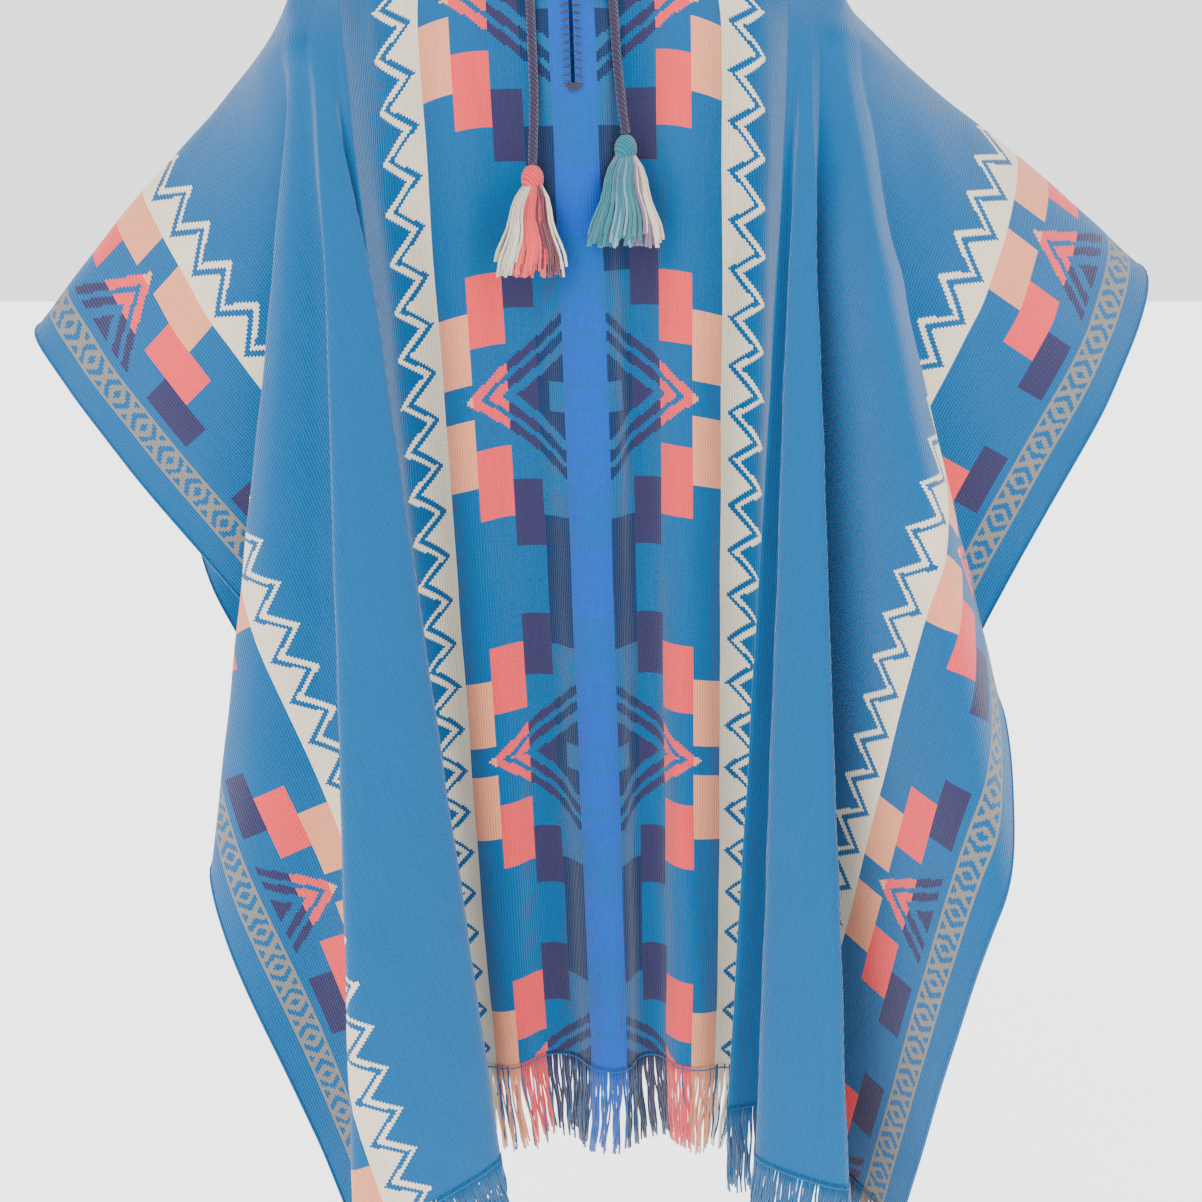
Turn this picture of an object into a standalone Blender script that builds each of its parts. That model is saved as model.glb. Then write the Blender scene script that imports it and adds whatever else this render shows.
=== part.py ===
# Woven wool poncho, worn open at the sides, with a drawcord neck and fringed hems.
# Metres, +Z up. The front faces -Y. The origin is the neck point on the shoulder line.
#
# Every panel point is named by its place in the flat cut: u across from the centre line, v down
# from the shoulder line. The function cloth() drapes such a point on a general figure.

import math

import bmesh
import bpy
import numpy as np
from mathutils import Matrix, Vector

# Driving dimensions of the cut
HALF_WIDTH = 0.577
LENGTH = 0.962
WALL = 0.0016
SEAM_GAP = 0.0003
NECK_RADIUS = 0.070
SLIT_END = 0.168
SLIT_HALF = 0.0015

# Driving dimensions of the drape
FLAT_HALF = 0.200
SHOULDER_X = 0.168
SHOULDER_DROP = 0.032
CHEST_DEPTH = 0.090
ARM_ROUND = 0.012
ARM_FULLNESS = 3.0
ARM_SLACK = 0.030
CENTRE_LIFT_FADE = 0.3
SIDE_PULL = 0.04
FOLDS_START = 0.05
FOLDS_FULL = 0.30
NECK_GATHER = 0.12

# Grid of the walls
CENTRE_COLUMNS = {"front": 16, "back": 12}
HEM_LINES = {"front": 19, "back": 15}
SELVAGE_LINES = {"front": 20, "back": 16}
ARM_LINES = {"front": 14, "back": 12}
ROW_SHARES = [0.035, 0.07, 0.11, 0.16, 0.21, 0.27, 0.34, 0.45, 0.60, 0.78, 1.0]
SLIT_ROWS = 3

# Trim
BINDING_RADIUS = 0.0030
BINDING_INSET = 0.0065
CORD_RADIUS = 0.0034
BUTTON_RADIUS = 0.0085
BUTTON_THICKNESS = 0.0030
STRIP_HEIGHT = 0.0040
STRIP_WALL = 0.0014
STRIP_GAP = 0.0004
FRINGE_LENGTH = 0.078
TASSEL_SKIRT = 0.066

# Each fold table has a row for each crest and hollow of one side, from the flat centre out to
# the arm: name, degrees outward from plumb, degrees forward of the shoulder.
FRONT_LEFT = [
    ("centre edge", -5.5, 1.5),
    ("front wall", -3.0, 0.5),
    ("front inside", -4.0, 2.0),
    ("front brow", -7.0, 3.5),
    ("front crest", -0.5, 5.0),
    ("front underside", -0.5, 2.5),
    ("side face", 1.5, 1.5),
    ("side brow", 7.0, 0.5),
    ("side crest", 9.0, -1.0),
    ("side hollow", 1.5, -2.5),
    ("arm start", 6.5, -3.5),
    ("arm front", 24.0, -6.5),
    ("arm side", 34.5, -8.5),
    ("arm edge", 42.0, -10.5),
    ("arm line", 41.5, -17.0),
]
FRONT_RIGHT = [
    ("centre edge", -2.0, 2.0),
    ("front wall", 0.0, 1.5),
    ("front inside", 0.0, 3.0),
    ("front brow", -1.0, 4.5),
    ("front crest", 3.0, 5.5),
    ("front underside", 2.5, 3.5),
    ("side face", 2.5, 1.5),
    ("side brow", 11.5, 8.0),
    ("side crest", 15.0, 3.5),
    ("side hollow", 15.0, 0.5),
    ("arm start", 15.5, 0.0),
    ("arm front", 24.0, -2.0),
    ("arm side", 36.0, -4.5),
    ("arm edge", 51.0, -11.5),
    ("arm line", 51.0, -18.5),
]
BACK_LEFT = [
    ("centre edge", -4.0, 2.0),
    ("back wall", -1.5, 1.5),
    ("back inside", -1.5, 3.0),
    ("back brow", -3.5, 4.5),
    ("back crest", 2.0, 6.0),
    ("back underside", 1.5, 3.0),
    ("side face", 4.5, 1.5),
    ("side brow", 9.5, 5.5),
    ("side crest", 11.5, 4.0),
    ("side hollow", 9.0, 1.0),
    ("arm start", 14.5, 2.0),
    ("arm back", 26.0, 12.0),
    ("arm side", 35.0, 19.0),
    ("arm edge", 42.0, 23.5),
    ("arm line", 41.5, 17.0),
]
BACK_RIGHT = [
    ("centre edge", -3.0, 2.0),
    ("back wall", -0.5, 1.5),
    ("back inside", -0.5, 3.0),
    ("back brow", -2.5, 5.0),
    ("back crest", 3.0, 6.0),
    ("back underside", 2.5, 3.0),
    ("side face", 6.0, 2.0),
    ("side brow", 11.5, 6.0),
    ("side crest", 12.5, 4.5),
    ("side hollow", 12.5, 1.0),
    ("arm start", 18.0, 2.5),
    ("arm back", 31.0, 14.0),
    ("arm side", 42.0, 20.5),
    ("arm edge", 51.0, 24.5),
    ("arm line", 51.0, 18.5),
]

# The flat centre gathers in shallow folds: u, then the share of the row's turn there,
# plus when the cloth comes forward toward +X.
FRONT_CENTRE = [
    (-0.200, -1.2), (-0.165, -1.2), (-0.140, 0.2), (-0.120, 0.6), (-0.100, 0.0), (-0.080, -0.5),
    (-0.060, 0.0), (-0.030, 0.7), (0.005, 0.1), (0.030, -0.9), (0.050, 0.0), (0.070, 0.8),
    (0.095, 0.0), (0.120, -0.5), (0.140, 0.0), (0.165, 1.3), (0.200, 1.3),
]
BACK_CENTRE = [
    (-0.200, -0.9), (-0.160, -0.8), (-0.130, 0.1), (-0.105, 0.7), (-0.080, 0.1), (-0.050, -0.7),
    (-0.020, 0.1), (0.010, 0.6), (0.040, -0.1), (0.070, -0.7), (0.100, 0.0), (0.125, 0.6),
    (0.150, 0.2), (0.170, 0.9), (0.200, 0.9),
]

# Cord routes in the cut: name, then u, v and height of the cord's axis over the cloth.
CORD_ROUTES = {
    "left": [(-0.0300, 0.0600, 0.0058), (-0.0300, 0.0700, 0.0050), (-0.0300, 0.0900, 0.0049),
             (-0.0296, 0.1300, 0.0050), (-0.0292, 0.1700, 0.0056), (-0.0294, 0.2050, 0.0086),
             (-0.0296, 0.2240, 0.0110)],
    "right": [(0.0300, 0.0600, 0.0058), (0.0302, 0.0700, 0.0050), (0.0306, 0.0900, 0.0049),
              (0.0312, 0.1200, 0.0050), (0.0322, 0.1500, 0.0056), (0.0334, 0.1850, 0.0086),
              (0.0344, 0.2040, 0.0110)],
}
BUTTON_PLACE = (0.0160, 0.0985)

COLLECTION = "wool_poncho"

COLOURS = {
    "cloth": (0.0, 0.16, 0.40, 1.0),
    "binding": (0.06, 0.05, 0.12, 1.0),
    "cord": (0.07, 0.05, 0.11, 1.0),
    "tassel_left": (0.80, 0.45, 0.35, 1.0),
    "tassel_right": (0.10, 0.40, 0.50, 1.0),
    "wood": (0.55, 0.36, 0.20, 1.0),
    "fringe": (0.25, 0.40, 0.55, 1.0),
}


def smooth(share):
    share = np.clip(share, 0.0, 1.0)
    return share * share * (3.0 - 2.0 * share)


def smooth_path(points, per_span=20):
    """A smooth curve through the points, sampled evenly between each pair."""
    points = np.asarray(points, float)
    spans = np.sqrt(np.linalg.norm(np.diff(points, axis=0), axis=1))
    knots = np.concatenate([[0.0], np.cumsum(spans)])
    slopes = np.gradient(points, knots, axis=0)
    pieces = []
    for i, span in enumerate(spans):
        t = np.linspace(0.0, 1.0, per_span, endpoint=False)[:, None]
        start = (2 * t**3 - 3 * t**2 + 1) * points[i] + (t**3 - 2 * t**2 + t) * span * slopes[i]
        end = (3 * t**2 - 2 * t**3) * points[i + 1] + (t**3 - t**2) * span * slopes[i + 1]
        pieces.append(start + end)
    pieces.append(points[-1:])
    return np.vstack(pieces)


def directions(angles):
    """Unit vectors from degrees outward and degrees forward of plumb."""
    outward = np.radians(angles[:, 0])
    forward = np.radians(angles[:, 1])
    level = np.cos(forward)
    return np.stack([np.sin(outward) * level, -np.sin(forward), -np.cos(outward) * level], axis=1)


def fold_fan(rows):
    """The fan of cloth lines below one shoulder.

    The cloth there turns through a right angle of the cut, so the folds are made just as deep
    as it takes for the fan's arc to be a right angle too."""
    angles = np.array([[outward, forward] for name, outward, forward in rows])
    reach = np.maximum.accumulate(angles[:, 0])
    share = (reach - angles[0, 0]) / (reach[-1] - angles[0, 0])
    even = angles[0, 1] + share * (angles[-1, 1] - angles[0, 1])
    low, high = 0.0, 3.0
    for _ in range(40):
        depth = 0.5 * (low + high)
        trial = angles.copy()
        trial[:, 1] = even + depth * (angles[:, 1] - even)
        fan = directions(smooth_path(trial))
        steps = np.linalg.norm(np.diff(fan, axis=0), axis=1)
        if steps.sum() > 0.5 * math.pi:
            high = depth
        else:
            low = depth
    turn = np.concatenate([[0.0], np.cumsum(steps)])
    turn *= 0.5 * math.pi / turn[-1]
    middle = 0.5 * (angles[0] + angles[-1]) + np.array([0.0, 6.0])
    calm = directions(np.array([angles[0], middle, angles[-1]]))
    return turn, fan, calm


FANS = {
    ("front", -1): fold_fan(FRONT_LEFT),
    ("front", 1): fold_fan(FRONT_RIGHT),
    ("back", -1): fold_fan(BACK_LEFT),
    ("back", 1): fold_fan(BACK_RIGHT),
}
CENTRES = {"front": FRONT_CENTRE, "back": BACK_CENTRE}


def side_cloth(face, side, outward, v):
    """Cloth outside the flat centre: lines that fan out from the shoulder, x outward."""
    turn, fan, calm = FANS[(face, side)]
    reach = np.hypot(outward, v)
    angle = np.arctan2(outward, np.maximum(v, 0.0))
    folded = np.stack([np.interp(angle, turn, fan[:, i]) for i in range(3)], axis=-1)
    t = (angle / (0.5 * math.pi))[..., None]
    plain = (1 - t) ** 2 * calm[0] + 2 * t * (1 - t) * calm[1] + t**2 * calm[2]
    plain /= np.linalg.norm(plain, axis=-1, keepdims=True)
    fullness = smooth((reach - FOLDS_START) / (FOLDS_FULL - FOLDS_START))[..., None]
    way = plain * (1 - fullness) + folded * fullness
    way /= np.linalg.norm(way, axis=-1, keepdims=True)
    radius = CHEST_DEPTH + (ARM_ROUND - CHEST_DEPTH) * smooth(angle / (0.5 * math.pi))
    bend = np.minimum(reach / radius, 0.5 * math.pi)
    slack = ARM_SLACK * smooth(reach / 0.2) * (1 - smooth((reach - 0.22) / 0.16))
    place = way * (reach - slack * np.sin(angle) ** 2)[..., None]
    place[..., 0] += SHOULDER_X + ARM_ROUND * np.sin(angle) * np.sin(bend)
    forward = 1 - np.minimum(angle / (0.5 * math.pi), 1.0) ** ARM_FULLNESS
    place[..., 1] -= CHEST_DEPTH * forward * np.sin(bend)
    place[..., 2] += radius * (bend - 1 + np.cos(bend)) - SHOULDER_DROP
    return place


def centre_row(face, v, count=161):
    """One row across the flat centre, gathered until it spans between the two side fans."""
    u = np.linspace(-FLAT_HALF, FLAT_HALF, count)
    start = side_cloth(face, -1, np.zeros(1), np.array([v]))[0] * [-1, 1, 1]
    end = side_cloth(face, 1, np.zeros(1), np.array([v]))[0]
    table = np.array(CENTRES[face])
    share = np.interp(u, table[:, 0], table[:, 1])
    weights = np.hanning(11)
    share = np.convolve(np.pad(share, 5, mode="edge"), weights / weights.sum(), mode="valid")
    middle = 0.5 * (share[1:] + share[:-1])
    step = u[1] - u[0]
    low, high = 0.0, 1.6
    for _ in range(30):
        turn = 0.5 * (low + high)
        if np.cos(turn * middle).sum() * step > end[0] - start[0]:
            low = turn
        else:
            high = turn
    along = (u + FLAT_HALF) / (2 * FLAT_HALF)
    fullness = smooth(v / NECK_GATHER)
    x = np.concatenate([[0.0], np.cumsum(np.cos(turn * middle)) * step])
    y = -np.concatenate([[0.0], np.cumsum(np.sin(turn * middle)) * step])
    x = (x - x[-1] * along) * fullness + start[0] + (end[0] - start[0]) * along
    y = (y - y[-1] * along) * fullness + start[1] + (end[1] - start[1]) * along
    z = start[2] + (end[2] - start[2]) * along
    lift = SHOULDER_DROP * smooth((FLAT_HALF - np.abs(u)) / (FLAT_HALF - NECK_RADIUS))
    z += lift * (1 - CENTRE_LIFT_FADE * smooth(v / 0.7))
    return u, np.stack([x, y, z], axis=-1)


def cloth(face, u, v):
    """Draped places of the cut's points (u, v) on the front or back panel."""
    u = np.asarray(u, float)
    v = np.asarray(v, float)
    place = np.zeros(u.shape + (3,))
    for side in (-1, 1):
        outside = u * side >= FLAT_HALF
        if outside.any():
            part = side_cloth(face, side, np.abs(u[outside]) - FLAT_HALF, v[outside])
            part[..., 0] *= side
            place[outside] = part
    inside = np.abs(u) < FLAT_HALF
    if inside.any():
        across, down = u[inside], v[inside]
        part = np.zeros((across.size, 3))
        rows, which = np.unique(np.round(down, 6), return_inverse=True)
        for i, row in enumerate(rows):
            row_u, row_place = centre_row(face, row)
            here = which == i
            for k in range(3):
                part[here, k] = np.interp(across[here], row_u, row_place[:, k])
        place[inside] = part
    place[..., 2] += place[..., 0] * SIDE_PULL * smooth(v / 0.35) * (0.6 + 0.4 * v / LENGTH)
    place[..., 1] -= 0.5 * SEAM_GAP
    if face == "back":
        place[..., 1] *= -1
    return place


def wall_normals(face, u, v, step=0.004):
    """Unit vectors out of the draped cloth, away from the wearer's side."""
    across = cloth(face, u + step, v) - cloth(face, u - step, v)
    down = cloth(face, u, v + step) - cloth(face, u, np.maximum(v - step, 0.0))
    normals = np.cross(across, down)
    if face == "front":
        normals = -normals
    return normals / np.linalg.norm(normals, axis=-1, keepdims=True)


def frame_at(face, u, v, step=0.002):
    """Place, outward normal and downward direction of the draped cloth at one point."""
    spots_v = np.array([v, v + step, v - step])
    place = cloth(face, np.array([u, u, u]), spots_v)
    normal = wall_normals(face, np.array([u]), np.array([v]))[0]
    return Vector(place[0]), Vector(normal), Vector(place[1] - place[2]).normalized()


def new_material(name, colour, roughness):
    material = bpy.data.materials.new(name)
    material.use_nodes = True
    shader = material.node_tree.nodes["Principled BSDF"]
    shader.inputs["Base Color"].default_value = colour
    shader.inputs["Roughness"].default_value = roughness
    shader.inputs["Metallic"].default_value = 0.0
    return material


def add_mesh(name, mesh, material, collection):
    thing = bpy.data.objects.new(name, mesh)
    thing.data.materials.append(material)
    collection.objects.link(thing)
    return thing


def panel_net(face):
    """The cut's net: columns run down the centre and along each fan line, rows across them.

    Returns u and v with a row of points for each column, and which points lie on the seam."""
    corner = math.atan2(HALF_WIDTH - FLAT_HALF, LENGTH)
    half = np.linspace(SLIT_HALF, FLAT_HALF, CENTRE_COLUMNS[face])
    flat = np.concatenate([-half[::-1], half])
    top = np.sqrt(np.maximum(NECK_RADIUS**2 - flat**2, 0.0))
    shares = np.array([0.0] + ROW_SHARES)
    shares[SLIT_ROWS] = (SLIT_END - NECK_RADIUS) / (LENGTH - NECK_RADIUS)
    flat_u = np.repeat(flat[:, None], len(shares), axis=1)
    flat_v = top[:, None] + (LENGTH - top[:, None]) * shares
    angles = np.concatenate([
        np.linspace(0.0, corner, HEM_LINES[face])[1:],
        np.linspace(corner, math.radians(45), SELVAGE_LINES[face])[1:],
        np.linspace(math.radians(45), math.radians(90), ARM_LINES[face])[1:]])
    to_hem = LENGTH / np.maximum(np.cos(angles), 1e-9)
    to_selvage = (HALF_WIDTH - FLAT_HALF) / np.sin(angles)
    reach = np.minimum(to_hem, to_selvage)[:, None] * shares
    fan_u = FLAT_HALF + reach * np.sin(angles)[:, None]
    fan_v = reach * np.cos(angles)[:, None]
    u = np.concatenate([-fan_u[::-1], flat_u, fan_u])
    v = np.concatenate([fan_v[::-1], flat_v, fan_v])
    seam = v < 1e-6
    return u, v, seam


def hem_places(face):
    """The u of every column that ends on the hem."""
    u, v, seam = panel_net(face)
    return u[v[:, -1] > LENGTH - 1e-6, -1]


def make_panel(face, material, collection):
    """One woven panel as a wall of even thickness, mitred along the shoulder seam."""
    u, v, seam = panel_net(face)
    place = cloth(face, u, v)
    normals = wall_normals(face, u, v)
    other = "back" if face == "front" else "front"
    shared = normals[seam] + wall_normals(other, u[seam], v[seam])
    normals[seam] = shared / np.linalg.norm(shared, axis=-1, keepdims=True)
    columns, rows = u.shape
    fan = (columns - 2 * CENTRE_COLUMNS[face]) // 2
    points = {}
    spots = []
    for i in range(columns):
        for j in range(rows):
            apex = j == 0 and (i < fan or i >= columns - fan)
            home = (fan if i < fan else columns - fan - 1) if apex else i
            if (home, j) not in points:
                points[(home, j)] = len(spots)
                spots.append((home, j))
            points[(i, j)] = points[(home, j)]
    triangles = []
    for i in range(columns - 1):
        for j in range(rows - 1):
            if face == "front" and i == columns // 2 - 1 and j < SLIT_ROWS:
                continue
            a, b = points[(i, j)], points[(i, j + 1)]
            c, d = points[(i + 1, j + 1)], points[(i + 1, j)]
            for corners in ((a, b, c), (a, c, d)):
                if len(set(corners)) == 3:
                    triangles.append(corners)
    build = bmesh.new()
    layers = []
    for way in (0.5 * WALL, -0.5 * WALL):
        layers.append([build.verts.new(place[at] + normals[at] * way) for at in spots])
    outer, inner = layers
    sides = set()
    for a, b, c in triangles:
        build.faces.new([outer[a], outer[b], outer[c]])
        build.faces.new([inner[c], inner[b], inner[a]])
        sides.update([(a, b), (b, c), (c, a)])
    for a, b in sorted(sides):
        if (b, a) not in sides:
            build.faces.new([outer[b], outer[a], inner[a], inner[b]])
    bmesh.ops.recalc_face_normals(build, faces=build.faces)
    mesh = bpy.data.meshes.new(face + "_panel")
    build.to_mesh(mesh)
    build.free()
    return add_mesh(face + "_panel", mesh, material, collection)


def make_tube(name, points, radius, material, collection, resolution=2):
    """A tube along the points, with closed ends."""
    curve = bpy.data.curves.new(name, "CURVE")
    curve.dimensions = "3D"
    curve.bevel_depth = radius
    curve.bevel_resolution = resolution
    curve.use_fill_caps = True
    spline = curve.splines.new("POLY")
    spline.points.add(len(points) - 1)
    for spot, point in zip(spline.points, points):
        spot.co = (*point, 1.0)
    tube = bpy.data.objects.new(name, curve)
    curve.materials.append(material)
    collection.objects.link(tube)
    return tube


def neck_route(count=56):
    """The binding's axis, just inside the neck hole, from slit edge round the back."""
    reach = NECK_RADIUS - BINDING_INSET
    opening = math.asin((SLIT_HALF + 0.0045) / reach)
    points = []
    for angle in np.linspace(-0.5 * math.pi + opening, 1.5 * math.pi - opening, count):
        u = reach * math.cos(angle)
        v = reach * math.sin(angle)
        face = "back" if v > 0 else "front"
        points.append(cloth(face, np.array([u]), np.array([abs(v)]))[0])
    return points


def cord_route(side):
    """The cord's axis: a smooth curve over the chest through the route's rows."""
    points = []
    for u, v, height in smooth_path(CORD_ROUTES[side], per_span=3):
        place, normal, down = frame_at("front", u, v)
        points.append(place + normal * height)
    return points


def make_button(material, collection):
    """A round wooden button with a raised rim and two sewing holes."""
    place, normal, down = frame_at("front", *BUTTON_PLACE)
    mesh = bpy.data.meshes.new("button")
    build = bmesh.new()
    bmesh.ops.create_cone(
        build, cap_ends=True, segments=24,
        radius1=BUTTON_RADIUS, radius2=BUTTON_RADIUS * 0.9, depth=BUTTON_THICKNESS)
    build.to_mesh(mesh)
    build.free()
    button = add_mesh("button", mesh, material, collection)
    stand = 0.5 * WALL + SEAM_GAP + 0.5 * BUTTON_THICKNESS
    turn = normal.to_track_quat("Z", "Y").to_matrix().to_4x4()
    button.matrix_world = Matrix.Translation(place + normal * stand) @ turn
    return button


def grow_locks(build, roots, tips, narrow):
    """Grow one lock from each root face to its tip: a bent middle, then a narrow end."""
    for root, (middle, tip) in zip(roots, tips):
        face = root
        for target, scale in ((middle, narrow), (tip, narrow)):
            grown = bmesh.ops.extrude_discrete_faces(build, faces=[face])["faces"][0]
            centre = grown.calc_center_median()
            for corner in grown.verts:
                corner.co = target + (corner.co - centre) * scale
            face = grown


def chest_depth_at(spots, x, z):
    """How far forward the front panel reaches behind a tassel's skirt at one height."""
    near = (np.abs(spots[:, 0] - x) < 0.040) & (np.abs(spots[:, 2] - z) < 0.012)
    return spots[near, 1].min() if near.any() else spots[:, 1].min()


def make_tassel(side, material, collection, rng):
    """A yarn tassel: a bound head with its locks fused below."""
    top = cord_route(side)[-1]
    spot_u, spot_v = np.meshgrid(np.linspace(-0.09, 0.09, 73), np.linspace(0.16, 0.36, 81))
    spots = cloth("front", spot_u.ravel(), spot_v.ravel())
    across = Vector((1, 0, 0))
    depth = Vector((0, -1, 0))
    plumb = Vector((0, 0, -1))
    cells = 5
    half = 0.0085
    build = bmesh.new()
    levels = [(0.0008, 0.35), (0.0060, 0.85), (0.0120, 1.0), (0.0190, 0.80), (0.0220, 0.80)]
    rings = []
    for drop, width in levels:
        ring = []
        for k in range(16):
            angle = 2 * math.pi * k / 16
            offset = across * math.cos(angle) + depth * math.sin(angle) * 0.9
            ring.append(build.verts.new(top + plumb * drop + offset * half * width))
        rings.append(ring)
    for upper, lower in zip(rings, rings[1:]):
        for k in range(16):
            n = (k + 1) % 16
            build.faces.new([upper[k], upper[n], lower[n], lower[k]])
    build.faces.new(rings[0][::-1])
    inner = [build.verts.new(top + plumb * 0.0220 + (corner.co - top - plumb * 0.0220) * 0.5)
             for corner in rings[-1][::2]]
    centre = build.verts.new(top + plumb * 0.0220)
    roots = []
    for k in range(8):
        n = (k + 1) % 8
        first, second, third = rings[-1][2 * k], rings[-1][2 * k + 1], rings[-1][(2 * k + 2) % 16]
        roots.append(build.faces.new([inner[k], first, second]))
        roots.append(build.faces.new([inner[k], second, third, inner[n]]))
        roots.append(build.faces.new([centre, inner[k], inner[n]]))
    bmesh.ops.recalc_face_normals(build, faces=build.faces)
    rooted = bmesh.ops.inset_individual(build, faces=roots, thickness=0.0004)
    tips = []
    for root in roots:
        spot = root.calc_center_median()
        side_way = (spot - top - plumb * 0.0220) / half
        length = TASSEL_SKIRT * rng.uniform(0.92, 1.0)
        spread = side_way * 0.030
        lock = []
        for share in (0.45, 1.0):
            target = spot + plumb * length * share + spread * share
            chest = min(chest_depth_at(spots, top.x, target.z), top.y + 0.008)
            target.y = chest - 0.005 - 0.014 * (1 + side_way.dot(depth)) * share
            lock.append(target)
        tips.append(lock)
    grow_locks(build, roots, tips, 0.82)
    mesh = bpy.data.meshes.new("tassel_" + side)
    build.to_mesh(mesh)
    build.free()
    return add_mesh("tassel_" + side, mesh, material, collection)


def make_fringe(face, material, collection, rng):
    """The hem's fringe: a narrow root strip under the hem with a lock on each wide span."""
    edges = hem_places(face)
    top_v = LENGTH + STRIP_GAP
    build = bmesh.new()
    sections = []
    for u in edges:
        inner = min(max(u, -HALF_WIDTH + 0.003), HALF_WIDTH - 0.003)
        place, normal, down = frame_at(face, inner, top_v)
        place = Vector(cloth(face, np.array([u]), np.array([top_v]))[0])
        half = normal * (0.5 * STRIP_WALL)
        low = place + down * STRIP_HEIGHT
        spots = (place - half, place + half, low + half, low - half)
        sections.append([build.verts.new(spot) for spot in spots])
    roots = []
    spans = []
    for i, (first, second) in enumerate(zip(sections, sections[1:])):
        for k in range(4):
            n = (k + 1) % 4
            side = build.faces.new([first[k], first[n], second[n], second[k]])
            if k == 2 and edges[i + 1] - edges[i] > 3 * SLIT_HALF:
                roots.append(side)
                spans.append(0.5 * (edges[i] + edges[i + 1]))
    build.faces.new(sections[0][::-1])
    build.faces.new(sections[-1])
    bmesh.ops.recalc_face_normals(build, faces=build.faces)
    bmesh.ops.inset_individual(build, faces=roots, thickness=0.0005)
    tips = []
    for root, u in zip(roots, spans):
        length = FRINGE_LENGTH * rng.uniform(0.86, 1.0)
        sway = rng.uniform(-0.0015, 0.0015)
        near = cloth(face, np.array([u, u + sway]), np.array([top_v, top_v + length]))
        hang = Vector(near[1]) - Vector(near[0])
        start = root.calc_center_median()
        tip = start + hang * (1.0 - STRIP_HEIGHT / length)
        tips.append((start.lerp(tip, 0.5), tip))
    grow_locks(build, roots, tips, 0.60)
    mesh = bpy.data.meshes.new("fringe_" + face)
    build.to_mesh(mesh)
    build.free()
    return add_mesh("fringe_" + face, mesh, material, collection)


def main():
    for thing in list(bpy.data.objects):
        bpy.data.objects.remove(thing, do_unlink=True)
    collection = bpy.data.collections.new(COLLECTION)
    bpy.context.scene.collection.children.link(collection)
    rng = np.random.default_rng(7)
    materials = {name: new_material(name, colour, 0.9) for name, colour in COLOURS.items()}
    make_panel("front", materials["cloth"], collection)
    make_panel("back", materials["cloth"], collection)
    make_tube("neck_binding", neck_route(), BINDING_RADIUS, materials["binding"], collection)
    make_button(materials["wood"], collection)
    for side in ("left", "right"):
        make_tube("cord_" + side, cord_route(side), CORD_RADIUS, materials["cord"], collection)
        make_tassel(side, materials["tassel_" + side], collection, rng)
    make_fringe("front", materials["fringe"], collection, rng)
    make_fringe("back", materials["fringe"], collection, rng)


main()
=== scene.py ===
# The looks of the wool poncho: woven cloth, yarn fringes, drawcord, tassels, button and light.
# The form is worked out here again from the part's own sizes and fold tables.

import math

import bmesh
import bpy
import numpy as np
from mathutils import Matrix, Vector


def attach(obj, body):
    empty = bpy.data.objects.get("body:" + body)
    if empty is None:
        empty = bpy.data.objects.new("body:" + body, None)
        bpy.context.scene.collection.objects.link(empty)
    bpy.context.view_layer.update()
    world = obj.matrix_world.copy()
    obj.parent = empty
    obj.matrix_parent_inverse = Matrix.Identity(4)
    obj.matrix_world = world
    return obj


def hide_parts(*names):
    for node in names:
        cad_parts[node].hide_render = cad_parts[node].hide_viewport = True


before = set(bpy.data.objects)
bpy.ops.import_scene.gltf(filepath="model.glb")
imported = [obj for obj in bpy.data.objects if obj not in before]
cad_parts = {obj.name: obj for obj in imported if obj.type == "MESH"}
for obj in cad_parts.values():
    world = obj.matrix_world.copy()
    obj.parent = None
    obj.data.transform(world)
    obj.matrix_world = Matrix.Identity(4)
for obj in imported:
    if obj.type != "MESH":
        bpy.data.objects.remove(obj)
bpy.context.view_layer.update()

# Driving dimensions of the cut
HALF_WIDTH = 0.577
LENGTH = 0.962
WALL = 0.0016
SEAM_GAP = 0.0003
NECK_RADIUS = 0.070
SLIT_END = 0.168
SLIT_HALF = 0.0015

# Driving dimensions of the drape
FLAT_HALF = 0.200
SHOULDER_X = 0.168
SHOULDER_DROP = 0.032
CHEST_DEPTH = 0.090
ARM_ROUND = 0.012
ARM_FULLNESS = 3.0
ARM_SLACK = 0.030
CENTRE_LIFT_FADE = 0.3
SIDE_PULL = 0.04
FOLDS_START = 0.05
FOLDS_FULL = 0.30
NECK_GATHER = 0.12

# Trim
BINDING_RADIUS = 0.0030
BINDING_INSET = 0.0065
CORD_RADIUS = 0.0034
BUTTON_RADIUS = 0.0085
BUTTON_THICKNESS = 0.0030
TASSEL_SKIRT = 0.066

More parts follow.
